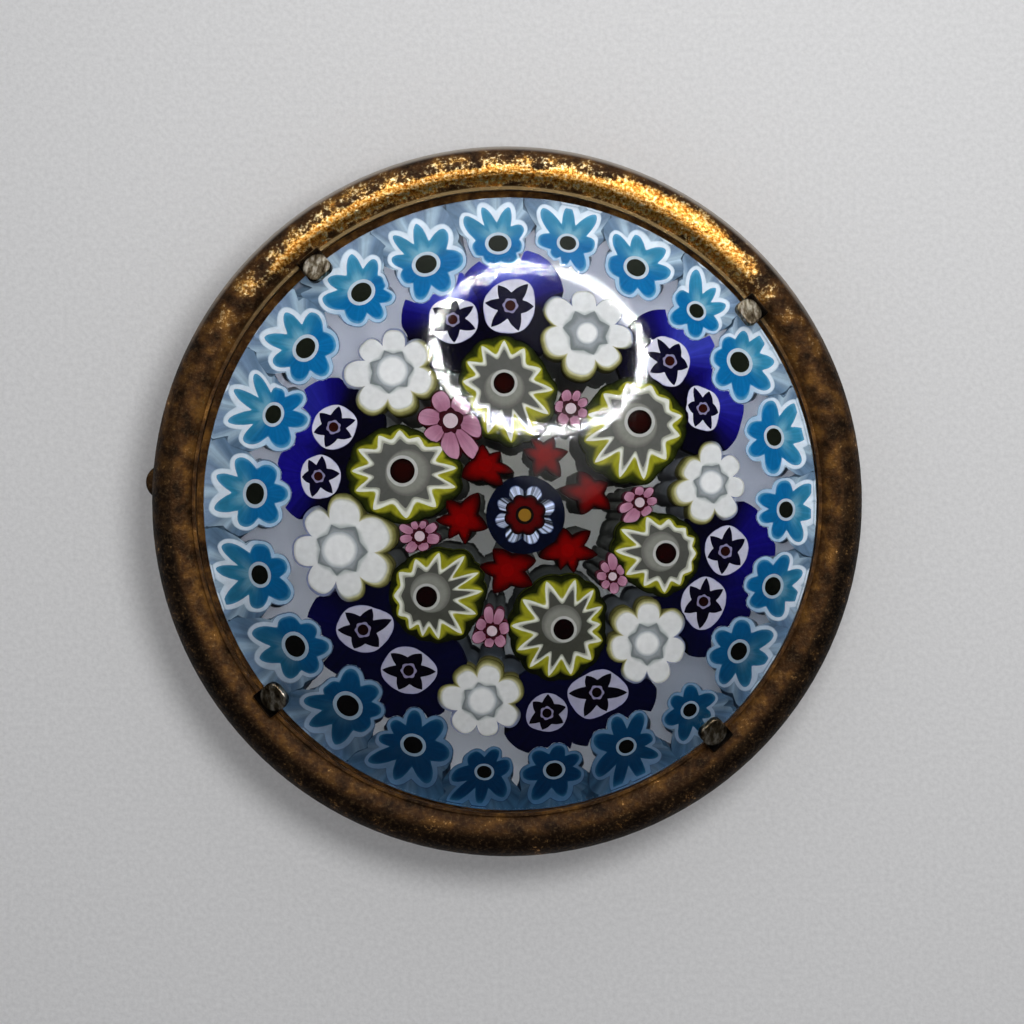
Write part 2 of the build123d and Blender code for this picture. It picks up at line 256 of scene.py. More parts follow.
RED_CANES = [
    Cane(54.6, 0.192, 1.00, ((8, 1.4), (62, 1.2), (130, 1.3), (165, 1.3), (245, 1.35), (306, 1.6))),
    Cane(8.1, 0.263, 1.00, ((30, 1.1), (121, 1.45), (174, 1.9), (247, 1.45), (317, 1.5))),
    Cane(321.1, 0.237, 1.00, ((40, 1.8), (99, 1.35), (194, 1.75), (250, 1.25), (285, 1.4), (352, 1.8))),
    Cane(267.8, 0.212, 1.00, ((18, 1.8), (126, 1.5), (173, 1.7), (239, 1.6), (329, 1.75))),
    Cane(198.8, 0.163, 1.00, ((60, 1.9), (128, 1.55), (180, 1.55), (235, 1.35), (278, 1.45), (342, 1.6))),
    Cane(122.3, 0.146, 1.00, ((42, 1.2), (99, 1.25), (206, 1.6), (312, 1.6), (346, 1.75))),
]
CENTRE_CANE = [
    Cane(322.6, 0.059, 1.00, (
        (20, 2.1), (67, 2.05), (112, 2.05), (152, 2.0), (193, 2.0), (240, 2.05), (287, 2.0), (332, 2.1),
    )),
]

# One band of a cane's pattern, from the middle out. At a tip its edge lies at crest times the tip's length,
# between two tips at groove times it, plus crest_plus and groove_plus in mm. point rounds the tips, from 1
# for a sharp one, and hollow rounds the notches in the same way. shift moves the edge outwards on the rim's
# side, spread draws it out to fill the cell there, and inset keeps it clear of the cell's edge.
Band = namedtuple(
    "Band",
    "glass crest groove crest_plus groove_plus point hollow shift spread inset",
    defaults=(0, 0, 2.0, 1.0, 0, 0, 0),
)
# One kind of cane: outline is the number of the band that neighbours stop at, steps how many points stand
# between a tip and the notch beside it. Soft kinds fill what firm ones leave, leaning ones point at the
# focus, flare is how far a foot spreads towards the rim, squeeze how far the round bands are pressed flat
# there, and sharpen how much keener the tips are on that side.
Kind = namedtuple(
    "Kind",
    "node canes side outline steps bands soft leans flare squeeze sharpen",
    defaults=(False, True, 0.0, 0.0, 0.0),
)


def disc(glass, radius, shift=0.0):
    """A band with a round edge."""
    return Band(glass, 0, 0, radius, radius, shift=shift)


KINDS = {
    "blue": Kind(
        "blue_canes", BLUE_CANES, "pale_side_glass", outline=4, steps=10,
        leans=False, flare=0.6, squeeze=0.15, sharpen=0.3,
        bands=[
            disc("olive_black_glass", 0.60),
            disc("pale_blue_ring_glass", 0.80),
            Band("blue_petal_glass", 1.00, 0.20, -0.06, 0.98, 2.2, 1.5, inset=0.20),
            Band("white_casing_glass", 1.00, 0.62, 0.11, 0.44, 2.4, 1.2, spread=0.14, inset=0.06),
            Band("slate_line_glass", 1.00, 0.62, 0.15, 0.48, 2.4, 1.2, spread=0.16, inset=0.02),
            Band("blue_veil_glass", 1.00, 0.62, 0.17, 0.50, 2.4, 1.2, spread=4.0),
        ],
    ),
    "star": Kind("star_canes", STAR_CANES, "cobalt_side_glass", outline=3, steps=14, soft=True, bands=[
        disc("red_brown_heart_glass", 0.30),
        Band("lavender_line_glass", 0.00, 0.00, 0.46, 0.38, 1.0),
        Band("navy_star_glass", 1.00, 0.00, 0.02, 0.76, 1.0, 1.25, inset=0.10),
        Band("white_disc_glass", 1.00, 0.94, 0.08, 0.13, inset=0.04),
        Band("deep_cobalt_glass", 1.10, 1.00, 1.60, 1.75),
    ]),
    "white": Kind("white_canes", WHITE_CANES, "cream_side_glass", outline=3, steps=12, bands=[
        disc("white_middle_glass", 0.96),
        Band("grey_clear_glass", 0.42, 0.54, point=1.5),
        Band("white_petal_glass", 1.00, 0.66, point=2.9),
        Band("petal_hull_glass", 1.00, 0.72, 0.26, 0.24, 2.7, shift=-0.20),
    ]),
    "green": Kind("green_canes", GREEN_CANES, "green_side_glass", outline=6, steps=10, bands=[
        disc("maroon_glass", 0.66),
        disc("grey_ring_glass", 0.83),
        disc("pale_disc_glass", 1.22, shift=-0.36),
        Band("grey_field_glass", 0.84, 0.14, -0.14, 1.16, 1.3, 2.1),
        Band("white_tooth_glass", 1.00, 0.18, -0.02, 1.36, 1.4, 2.1),
        Band("yellow_green_glass", 1.00, 0.86, 0.08, 0.10, 1.6),
        Band("dark_green_glass", 1.00, 0.94, 0.30, 0.34),
    ]),
    "pink": Kind("pink_canes", PINK_CANES, "dark_red_side_glass", outline=3, steps=10, bands=[
        disc("pink_white_glass", 0.31),
        Band("dark_red_line_glass", 0.00, 0.00, 0.45, 0.58, 1.0),
        Band("pink_petal_glass", 1.00, 0.52, 0.00, 0.02, 2.8),
        Band("dark_red_hull_glass", 1.00, 0.74, 0.06, 0.02),
    ]),
    "red": Kind("red_canes", RED_CANES, "red_side_glass", outline=2, steps=12, bands=[
        disc("bright_red_glass", 0.40),
        Band("red_star_glass", 1.00, 0.54, 0.00, 0.00, 1.1, 1.35),
        Band("dark_red_edge_glass", 1.00, 0.56, 0.04, 0.07, 1.1, 1.35),
    ]),
    "centre": Kind("centre_cane", CENTRE_CANE, "dark_blue_side_glass", outline=5, steps=16, bands=[
        disc("ochre_core_glass", 0.38),
        disc("black_ring_glass", 0.56),
        Band("dark_red_flower_glass", 0.60, 0.50),
        Band("black_gap_glass", 0.63, 0.54),
        Band("white_ray_glass", 0.92, 0.66),
        Band("dark_blue_glass", 1.00, 1.00, 0.34, 0.34),
    ]),
}

# Soda-lime glass of the canes, pulled and cut across, so each colour is a flat field with hair-fine streaks.
# base is its colour, streak how strong its radial streaks are, and each layer another colour that lies over
# it where every reading named after it has gone from its first value to its second. across runs from 0 to 1
# over the glass's own band, outward from -1 towards the brooch's middle to 1 towards the rim, phase from 0 at
# a tip to 1 midway between two, down is the depth below the cane's top in mm, and north the place across the
# brooch in mm.
# Layers keyed on north are painted shade: the glass grows darker towards the bottom of the brooch, where less
# light falls on it, and the cobalt's paler layer towards the top is painted light.
Glass = namedtuple("Glass", "base streak layers", defaults=(0.08, ()))
# Layers keyed on down are painted shade too: a cane's side grows darker lower down, deeper between its
# neighbours.
CANE_GLASSES = {
    "olive_black_glass": Glass("#161A12", 0.1, (("#030303", ("north", 12, -12)),)),
    "pale_blue_ring_glass": Glass("#AEBBC6", 0.04, (("#7C90A2", ("north", 6, -16)),)),
    "blue_petal_glass": Glass("#0A5E92", 0.14, (
        ("#2C7898", ("outward", -0.1, 0.9)),
        ("#6A9CB2", ("outward", 0.2, 1.0), ("across", 0.55, 0.0)),
        ("#4C8CAE", ("across", 0.8, 1.0)),
        ("#032848", ("north", 4, -18), ("across", 1.8, 0.7)),
    )),
    "white_casing_glass": Glass("#98B4CC", 0.05, (
        ("#CDD8E2", ("outward", -0.3, 0.4), ("across", 1.5, 0.7)),
        ("#2C5478", ("north", 0, -20)),
    )),
    "slate_line_glass": Glass("#3A4466", 0.1, (
        ("#A4B6C4", ("outward", -0.1, 0.4)),
        ("#142A48", ("north", 2, -20)),
    )),
    "blue_veil_glass": Glass("#587088", 0.3, (
        ("#94A9BA", ("phase", 0.35, 0.95)),
        ("#7488A0", ("outward", 0.5, 1.0), ("phase", 0.8, 0.3)),
        ("#1C3A54", ("north", 2, -22)),
    )),
    "pale_side_glass": Glass("#586E82", 0.3, (("#1C3A54", ("north", 2, -22)),)),
    "red_brown_heart_glass": Glass("#260906", 0.2, (("#060102", ("north", 4, -12)),)),
    "lavender_line_glass": Glass("#7E7A98", 0.05),
    "navy_star_glass": Glass("#05041C", 0.1, (("#020108", ("north", 6, -13)),)),
    "white_disc_glass": Glass("#C0C0CE", 0.04, (
        ("#8A8AA2", ("north", 6, -18)),
        ("#8E8EB6", ("across", 0.85, 1.0)),
    )),
    "deep_cobalt_glass": Glass("#030210", 0.25, (
        ("#120C6E", ("outward", -0.2, 0.9)),
        ("#3A44A8", ("outward", 0.4, 1.2), ("north", 2, 14)),
        ("#03041E", ("north", 2, -10)),
    )),
    "cobalt_side_glass": Glass("#030210", 0.3, (
        ("#120C6E", ("outward", -0.2, 0.9)),
        ("#03041E", ("north", 2, -10)),
    )),
    "white_middle_glass": Glass("#D4D6D6", 0.02, (("#9EA4A8", ("across", 0.72, 1.0)),)),
    "grey_clear_glass": Glass("#868C90", 0.06, (("#6C7274", ("across", 0.2, 0.8)),)),
    "white_petal_glass": Glass("#CACCCC", 0.02, (
        ("#9AA0A0", ("across", 0.2, 0.0)),
        ("#A6A8A0", ("across", 0.9, 1.0)),
    )),
    "petal_hull_glass": Glass("#6E6C3C", 0.15, (
        ("#B2AF8C", ("across", 0.55, 0.0)),
        ("#34321A", ("across", 0.55, 1.0)),
        ("#6A7290", ("outward", -0.1, 0.5)),
    )),
    "cream_side_glass": Glass("#56542E", 0.1, (
        ("#2C2A14", ("down", 0.1, 0.9)),
        ("#5E6684", ("outward", -0.2, 0.6)),
    )),
    "maroon_glass": Glass("#1C0302", 0.15, (
        ("#0C0101", ("across", 0.4, 1.0)),
        ("#060001", ("north", 4, -10)),
    )),
    "grey_ring_glass": Glass("#A2A3A0", 0.03),
    "pale_disc_glass": Glass("#74756F", 0.05, (("#585954", ("across", 0.4, 1.0)),)),
    "grey_field_glass": Glass("#50514E", 0.05, (("#363730", ("north", 4, -12)),)),
    "white_tooth_glass": Glass("#8C8E82", 0.05, (("#C8CAC0", ("across", 0.15, 0.6)),)),
    "yellow_green_glass": Glass("#80801C", 0.3, (
        ("#A6A660", ("across", 0.18, 0.0)),
        ("#33360A", ("across", 0.6, 1.0)),
    )),
    "dark_green_glass": Glass("#262C08", 0.4, (
        ("#0C1003", ("across", 0.2, 1.0)),
        ("#080B02", ("north", 4, -12)),
    )),
    "green_side_glass": Glass("#343A0C", 0.3, (("#141803", ("down", 0.1, 0.9)),)),
    "pink_white_glass": Glass("#B4A2AB", 0.04),
    "dark_red_line_glass": Glass("#2E0A13", 0.1),
    "pink_petal_glass": Glass("#8C5E74", 0.12, (
        ("#A0748A", ("across", 0.2, 0.9)),
        ("#54283A", ("phase", 0.8, 1.0)),
    )),
    "dark_red_hull_glass": Glass("#2C050A", 0.1),
    "dark_red_side_glass": Glass("#623040", 0.2, (("#240609", ("down", 0.1, 0.9)),)),
    "bright_red_glass": Glass("#6C0000", 0.05),
    "red_star_glass": Glass("#600000", 0.1, (("#260000", ("across", 0.3, 1.0)),)),
    "dark_red_edge_glass": Glass("#120000", 0.1),
    "red_side_glass": Glass("#2A0000", 0.2, (("#0C0000", ("down", 0.2, 1.4)),)),
    "ochre_core_glass": Glass("#7A5A1C", 0.1),
    "black_ring_glass": Glass("#0A0706", 0.1),
    "dark_red_flower_glass": Glass("#420304", 0.1, (("#1C0102", ("across", 0.5, 1.0)),)),
    "black_gap_glass": Glass("#06050A", 0.1),
    "white_ray_glass": Glass("#8C96AC", 2.0, (
        ("#04060F", ("phase", 0.62, 0.92)),
        ("#22345C", ("across", 0.8, 1.0)),
    )),
    "dark_blue_glass": Glass("#04081A", 0.2),
    "dark_blue_side_glass": Glass("#040614", 0.2),
}


class BroochSizes(bpy.types.PropertyGroup):
    """Sizes and colours that a maker would change."""

    girdle: bpy.props.FloatProperty(
        name="Girdle height", description="Straight edge of the clear dome", default=1.9 * MM, unit="LENGTH"
    )
    edge_round: bpy.props.FloatProperty(
        name="Edge rounding",
        description="Radius where the dome meets its straight edge",
        default=0.35 * MM,
        unit="LENGTH",
    )
    cane_cover: bpy.props.FloatProperty(
        name="Cane cover", description="Clear glass over the canes' tops", default=1.15 * MM, unit="LENGTH"
    )
    cane_gap: bpy.props.FloatProperty(
        name="Cane gap", description="Gap between neighbouring canes", default=0.05 * MM, unit="LENGTH"
    )
    cane_focus: bpy.props.FloatProperty(
        name="Cane focus",
        description="Depth below the ground plate of the point that the inner canes lean to",
        default=21 * MM,
        unit="LENGTH",
    )
    glass_tint: bpy.props.FloatVectorProperty(
        name="Glass tint", description="Colour of the clear dome", default=(1, 1, 1), subtype="COLOR"
    )
    camera_distance: bpy.props.FloatProperty(
        name="Camera distance", description="From the camera down to the rim", default=420 * MM, unit="LENGTH"
    )
    view_width: bpy.props.FloatProperty(
        name="View width", description="Width seen at the rim", default=63.32 * MM, unit="LENGTH"
    )
    light: bpy.props.FloatProperty(
        name="Light", description="Strength of the soft lamps over the far side", default=0.077, min=0
    )
    light_colour: bpy.props.FloatVectorProperty(
        name="Light colour", description="Colour of the soft lamps", default=(1, 1, 1), subtype="COLOR"
    )


def linear(hex_colour):
    """Linear RGBA of an sRGB hex colour."""
    parts = [int(hex_colour[i : i + 2], 16) / 255 for i in (1, 3, 5)]
    steps = [p / 12.92 if p <= 0.04045 else ((p + 0.055) / 1.055) ** 2.4 for p in parts]
    return (*steps, 1.0)


def add_node(tree, kind, inputs=None, stops=(), **settings):
    """Adds a node, sets it up, and sets or links its inputs; stops are a ramp's (position, hex colour).

    A node given as an input stands for its first output in use.
    """
    node = tree.nodes.new(kind)
    for key, value in settings.items():
        setattr(node, key, value)
    for key, value in (inputs or {}).items():
        if isinstance(value, bpy.types.Node):
            value = next(socket for socket in value.outputs if socket.enabled)
        if isinstance(value, bpy.types.NodeSocket):
            tree.links.new(value, node.inputs[key])
        else:
            node.inputs[key].default_value = value
    if stops:
        elements = node.color_ramp.elements
        while len(elements) < len(stops):
            elements.new(0.5)
        for element, (position, colour) in zip(elements, stops):
            element.position = position
            element.color = linear(colour)
    return node


# Words for the steps of a formula that aren't operations of a Math node: their node, its settings and its
# inputs
RANGE_INPUTS = ("Value", "From Min", "From Max", "To Min", "To Max")
FORMULA_WORDS = {
    "range": ("ShaderNodeMapRange", {}, RANGE_INPUTS),
    "smooth range": ("ShaderNodeMapRange", {"interpolation_type": "SMOOTHSTEP"}, RANGE_INPUTS),
    "blend": ("ShaderNodeMix", {"data_type": "RGBA"}, ("Factor", "A", "B")),
    "vector blend": ("ShaderNodeMix", {"data_type": "VECTOR"}, ("Factor", "A", "B")),
    "vector SCALE": ("ShaderNodeVectorMath", {"operation": "SCALE"}, (0, "Scale")),
    "noise": ("ShaderNodeTexNoise", {}, ("Vector", "Scale", "Detail", "Roughness")),
    "ramp": ("ShaderNodeValToRGB", {}, ("Fac",)),
    "bump": ("ShaderNodeBump", {}, ("Height", "Strength", "Distance", "Normal")),
    "upright": ("ShaderNodeCombineXYZ", {}, ("Z",)),
}


def add_formula(tree, values, steps):
    """Adds a node for each (result, word, terms) step; a term is a value's name, a hex colour or a constant.

    A word starting with vector names an operation of a Vector Math node, and a ramp ends with its stops.
    """
    for result, word, *terms in steps:
        operation = word.removeprefix("vector ")
        kind = "ShaderNodeMath" if operation == word else "ShaderNodeVectorMath"
        kind, settings, labels = FORMULA_WORDS.get(word, (kind, {"operation": operation}, (0, 1, 2)))
        stops = terms[len(labels) :]
        for place, term in enumerate(terms):
            if isinstance(term, str):
                terms[place] = linear(term) if term.startswith("#") else values[term]
        values[result] = add_node(tree, kind, dict(zip(labels, terms)), stops, **settings)
    return values


def new_material(name):
    """An empty material, its nodes, and the readings of place that its patterns start from."""
    material = bpy.data.materials.new(name)
    material.use_nodes = True
    tree = material.node_tree
    tree.nodes.clear()
    place = add_node(tree, "ShaderNodeTexCoord").outputs["Object"]
    axes = add_node(tree, "ShaderNodeSeparateXYZ", {"Vector": place}).outputs
    return material, tree, {"place": place, "x": axes["X"], "y": axes["Y"], "z": axes["Z"]}


def lit_through(tree, shader, share):
    """Ends a glass's nodes so that lamps shine through it by a share, as they do through thin glass."""
    shadow = add_node(tree, "ShaderNodeLightPath").outputs["Is Shadow Ray"]
    passed = add_node(tree, "ShaderNodeMath", {0: shadow, 1: share}, operation="MULTIPLY")
    lamp = add_node(tree, "ShaderNodeBsdfTransparent")
    mix = add_node(tree, "ShaderNodeMixShader", {0: passed, 1: shader, 2: lamp})
    add_node(tree, "ShaderNodeOutputMaterial", {"Surface": mix})


def add_ground_look(tree, values):
    """Adds the ground tone, olive-grey and darker in the middle, which is partly painted shade, to
    lavender-grey at the rim, darkened by painted shade towards the bottom of the brooch, and the risen normal
    of its light.
    """
    steps = (
        ("away", "vector SUBTRACT", "place", (GLASS_X, GLASS_Y, 0)),
        ("flat", "vector MULTIPLY", "away", (1, 1, 0)),
        ("raised", "vector ADD", "flat", (0, 0, 30 * MM)),
        ("risen", "vector NORMALIZE", "raised"),
        ("reach", "vector LENGTH", "flat"),
        ("rimward", "smooth range", "reach", 6 * MM, 14 * MM),
        # Clouds 1.8 mm across
        ("clouds", "noise", "place", 1 / (1.8 * MM), 4.0),
        # The middle is olive-grey and darker than the lavender-grey border; its darkness is partly painted
        # shade
        ("middle", "ramp", "clouds", (0.3, "#5A594E"), (0.7, "#68675D")),
        ("border", "ramp", "clouds", (0.3, "#7C8290"), (0.7, "#979CAA")),
        ("clouded", "blend", "rimward", "middle", "border"),
        # Painted shade: the ground grows darker towards the bottom of the brooch, where less light falls
        ("deep", "range", "y", 10 * MM, -12 * MM, 0.0, 0.75),
        ("ground tone", "blend", "deep", "clouded", "#1E3244"),
    )
    add_formula(tree, values, steps)


def cane_glass(name, band, side=False):
    """Coloured soda-lime glass inside the clear casting, which leaves it no gloss of its own."""
    if name in bpy.data.materials:
        return bpy.data.materials[name]
    glass = CANE_GLASSES[name]
    material, tree, values = new_material(name)
    for label in ("bands", "outward", "phase", "down"):
        values[label] = add_node(tree, "ShaderNodeAttribute", attribute_name=label).outputs["Fac"]
    values["way"] = add_node(tree, "ShaderNodeAttribute", attribute_name="way").outputs["Vector"]
    # north is the place up the brooch in mm, which the painted shade layers darken by
    steps = [("across", "SUBTRACT", "bands", band), ("north", "MULTIPLY", "y", 1 / MM)]
    values["colour"] = linear(glass.base) if glass.layers else linear(glass.base)[:3]
    values["whole"] = 1.0
    for other, *spans in glass.layers:
        cover = "whole"
        for label, start, end in spans:
            steps += [("share", "smooth range", label, start, end), ("cover", "MULTIPLY", "share", cover)]
            cover = "cover"
        steps.append(("colour", "blend", "cover", "colour", other))
    steps += [
        # Streaks about 0.1 mm wide that run out from the middle, as threads of the pulled cane do
        ("threads", "vector MULTIPLY_ADD", "way", (9.0, 9.0, 9.0), "place"),
        ("streaks", "noise", "threads", 1.0, 3.0),
        ("streak", "SUBTRACT", "streaks", 0.5),
        ("shade", "MULTIPLY_ADD", "streak", 4.0 * glass.streak, 1.0),
        # Faint clouding, about 0.4 mm across
        ("mists", "noise", "place", 1 / (0.4 * MM), 3.0),
        ("mist", "SUBTRACT", "mists", 0.5),
        ("level", "MULTIPLY_ADD", "mist", 0.3, "shade"),
        ("kept", "MAXIMUM", "level", 0.05),
        ("colour", "vector SCALE", "colour", "kept"),
    ]
    add_formula(tree, values, steps)
    inputs = {"Roughness": 0.6, "Specular IOR Level": 0.0}
    if side:
        # Lower down a cane is sunk in the ground glass, which rises round it, so its side takes the ground's
        # colour, painted shade included, and the ground's risen normal
        add_ground_look(tree, values)
        values["own"] = add_node(tree, "ShaderNodeNewGeometry").outputs["Normal"]
        steps = (
            ("sunk", "smooth range", "down", 0.5, 1.2),
            ("colour", "blend", "sunk", "colour", "ground tone"),
            ("leant", "vector blend", "sunk", "own", "risen"),
        )
        inputs["Normal"] = add_formula(tree, values, steps)["leant"]
    shader = add_node(tree, "ShaderNodeBsdfPrincipled", {**inputs, "Base Color": values["colour"]})
    lit_through(tree, shader, 1.0)
    return material


def cane_place(cane):
    """Plan position of a cane, from the glass's axis, in metres."""
    reach = cane.reach * GLASS_RADIUS
    turn = math.radians(cane.angle)
    return np.array([reach * math.cos(turn), reach * math.sin(turn)])


def tip_span(cane, turns):
    """Phase from 0 at a tip to 1 midway between two, and the tips' length in mm, at each direction."""
    tips = sorted(cane.tips)
    angles = np.array([angle for angle, _ in tips])
    lengths = np.array([length for _, length in tips])
    degrees = np.degrees(turns) % 360
    after = np.searchsorted(angles, degrees, side="right") % len(tips)
    before = after - 1
    share = (degrees - angles[before]) % 360 / ((angles[after] - angles[before]) % 360)
    eased = share * share * (3 - 2 * share)
    return 1 - np.abs(1 - 2 * share), lengths[before] + (lengths[after] - lengths[before]) * eased


def outline(kind, cane, turns):
    """Radius of the line that neighbours of a cane stop at, at each direction about it, in metres."""
    band = kind.bands[kind.outline]
    here = cane_place(cane)
    phase, length = tip_span(cane, turns)
    outward = np.cos(turns - math.atan2(here[1], here[0]))
    size = cane.size * (1 - kind.squeeze * outward**2)
    crest = band.crest * length + band.crest_plus * size
    groove = band.groove * length + band.groove_plus * size
    return (groove + (crest - groove) * (1 - phase**band.point) ** band.hollow) * MM


def room_limits(kind, cane, turns, gap):
    """Radius at each direction that neighbours and the edge of the glass leave, found by walking outwards."""
    here = cane_place(cane)
    mine = outline(kind, cane, turns)
    walk = np.arange(WALK_STEP, WALK_REACH, WALK_STEP)[:, None]
    spots_x = here[0] + walk * np.cos(turns)
    spots_y = here[1] + walk * np.sin(turns)
    met = np.zeros(spots_x.shape, bool)
    for other in KINDS.values():
        for neighbour in other.canes:
            there = cane_place(neighbour)
            if neighbour is cane or np.hypot(*(there - here)) > 2 * WALK_REACH:
                continue
            distance = np.hypot(spots_x - there[0], spots_y - there[1])
            theirs = outline(other, neighbour, np.arctan2(spots_y - there[1], spots_x - there[0]))
            if kind.soft == other.soft:
                met |= distance * mine < walk * theirs
            else:
                met |= distance < theirs + gap / 2
    stop = walk[np.argmax(met, axis=0), 0] - gap / (8 if kind.soft else 2)
    return np.minimum(np.where(met.any(axis=0), stop, WALK_REACH), wall_distance(here, turns))


def wall_distance(here, turns):
    """Way from a point to the edge of the cane field at each direction."""
    field = GLASS_RADIUS - CANE_MARGIN
    reach = float(np.hypot(*here))
    away = turns - math.atan2(here[1], here[0])
    across = np.clip(reach * np.sin(away), -field, field)
    return np.sqrt(field**2 - across**2) - reach * np.cos(away)


def cane_ring(kind, cane, gap):
    """Directions about a cane, and what its edges need at each of them."""
    angles = sorted(angle for angle, _ in cane.tips)
    count = 2 * kind.steps
    turns = np.array([
        math.radians(angle + (after - angle) * step / count)
        for angle, after in zip(angles, angles[1:] + [angles[0] + 360])
        for step in range(count)
    ])
    phase, length = tip_span(cane, turns)
    here = cane_place(cane)
    return turns, {
        "phase": phase,
        "reach": length * MM,
        "outward": np.cos(turns - math.atan2(here[1], here[0])),
        "room": room_limits(kind, cane, turns, gap),
        "wall": wall_distance(here, turns),
        "size": [cane.size] * len(turns),
    }


def add_object(name, points, faces):
    """Adds a mesh object with these points and faces."""
    mesh = bpy.data.meshes.new(name)
    mesh.from_pydata(points, [], faces)
    piece = bpy.data.objects.new(name, mesh)
    bpy.context.collection.objects.link(piece)
    return piece


def cane_seeds(name, kind, sizes):
    """Object with one small face for each cane, whose points carry the measures that it grows from."""
    points, faces = [], []
    readings = {}
    vectors = {"centre": [], "way": []}
    for cane in kind.canes:
        turns, ring = cane_ring(kind, cane, sizes.cane_gap)
        here = cane_place(cane)
        faces.append(tuple(range(len(points), len(points) + len(turns))))
        for turn in turns:
            way = (math.cos(turn), math.sin(turn), 0.0)
            points.append((here[0] + way[0] * SEED_RADIUS * MM, here[1] + way[1] * SEED_RADIUS * MM, 0.0))
            vectors["way"].extend(way)
            vectors["centre"].extend((here[0], here[1], 0.0))
        for key, values in ring.items():
            readings.setdefault(key, []).extend(values)
    piece = add_object(name, points, faces)
    for key, values in readings.items():
        piece.data.attributes.new(key, "FLOAT", "POINT").data.foreach_set("value", values)
    for key, values in vectors.items():
        piece.data.attributes.new(key, "FLOAT_VECTOR", "POINT").data.foreach_set("vector", values)
    return piece


def node_group(name, inputs):
    """A Geometry Nodes tree with a geometry in and out, its named inputs and their identifiers."""
    tree = bpy.data.node_groups.new(name, "GeometryNodeTree")
    for way in ("OUTPUT", "INPUT"):
        tree.interface.new_socket(name="Geometry", in_out=way, socket_type="NodeSocketGeometry")
    identifiers = {
        label: tree.interface.new_socket(name=label, in_out="INPUT", socket_type=kind).identifier
        for label, kind in inputs.items()
    }
    return tree, add_node(tree, "NodeGroupInput").outputs, identifiers


DOME_INPUTS = ("Cover", "Sphere", "Middle")
EDGE_INPUTS = (
    *("Crest", "Groove", "Crest Plus", "Groove Plus", "Point", "Hollow"),
    *("Shift", "Spread", "Inset", "Squeeze", "Sharpen"),
)
# Measures of a cane's points that are vectors; the others are numbers
VECTOR_READINGS = ("centre", "way", "brink")


def edge_group():
    """Node group that puts a ring of a cane's points on the outer edge of one band, under the dome."""
    inputs = {label: "NodeSocketFloat" for label in EDGE_INPUTS + DOME_INPUTS}
    tree, given, _ = node_group("cane_edge", {"Selection": "NodeSocketBool", **inputs})
    values = {label: given[label] for label in inputs}
    for label in ("phase", "reach", "outward", "room", "size", "centre", "way"):
        kind = "FLOAT_VECTOR" if label in VECTOR_READINGS else "FLOAT"
        values[label] = add_node(tree, "GeometryNodeInputNamedAttribute", {"Name": label}, data_type=kind)
    values["here"] = add_node(tree, "GeometryNodeInputPosition")
    steps = (
        ("away", "vector SUBTRACT", "here", "centre"),
        ("flat", "vector MULTIPLY", "away", (1, 1, 0)),
        ("last", "vector LENGTH", "flat"),
        ("rimward", "MAXIMUM", "outward", 0.0),
        ("rimward squared", "MULTIPLY", "rimward", "rimward"),
        ("keener", "MULTIPLY", "rimward squared", "Sharpen"),
        ("blunt", "SUBTRACT", 1.0, "keener"),
        ("power", "MULTIPLY", "Point", "blunt"),
        ("bend", "POWER", "phase", "power"),
        ("rest", "SUBTRACT", 1.0, "bend"),
        ("share", "POWER", "rest", "Hollow"),
        ("out squared", "MULTIPLY", "outward", "outward"),
        ("pressed", "MULTIPLY", "out squared", "Squeeze"),
        ("narrow", "SUBTRACT", 1.0, "pressed"),
        ("scale", "MULTIPLY", "size", "narrow"),
        ("crest add", "MULTIPLY", "Crest Plus", "scale"),
        ("crest edge", "MULTIPLY_ADD", "reach", "Crest", "crest add"),
        ("groove add", "MULTIPLY", "Groove Plus", "scale"),
        ("groove edge", "MULTIPLY_ADD", "reach", "Groove", "groove add"),
        ("stand", "SUBTRACT", "crest edge", "groove edge"),
        ("edge", "MULTIPLY_ADD", "stand", "share", "groove edge"),
        ("drawn", "MULTIPLY_ADD", "rimward squared", "Spread", "edge"),
        ("shifted", "MULTIPLY_ADD", "outward", "Shift", "drawn"),
        ("free", "SUBTRACT", "room", "Inset"),
        ("held", "MINIMUM", "shifted", "free"),
        ("radius", "MAXIMUM", "held", "last"),
        ("ray", "vector SCALE", "way", "radius"),
        ("plan", "vector ADD", "centre", "ray"),
        ("plan squared", "vector DOT_PRODUCT", "plan", "plan"),
        ("inner sphere", "SUBTRACT", "Sphere", "Cover"),
        ("sphere squared", "MULTIPLY", "inner sphere", "inner sphere"),
        ("drop", "SUBTRACT", "sphere squared", "plan squared"),
        ("arc", "SQRT", "drop"),
        ("height", "ADD", "Middle", "arc"),
        ("lift", "upright", "height"),
        ("spot", "vector ADD", "plan", "lift"),
    )
    spot = add_formula(tree, values, steps)["spot"]
    inputs = {"Geometry": given["Geometry"], "Selection": given["Selection"], "Position": spot}
    placed = add_node(tree, "GeometryNodeSetPosition", inputs)
    add_node(tree, "NodeGroupOutput", {"Geometry": placed})
    return tree


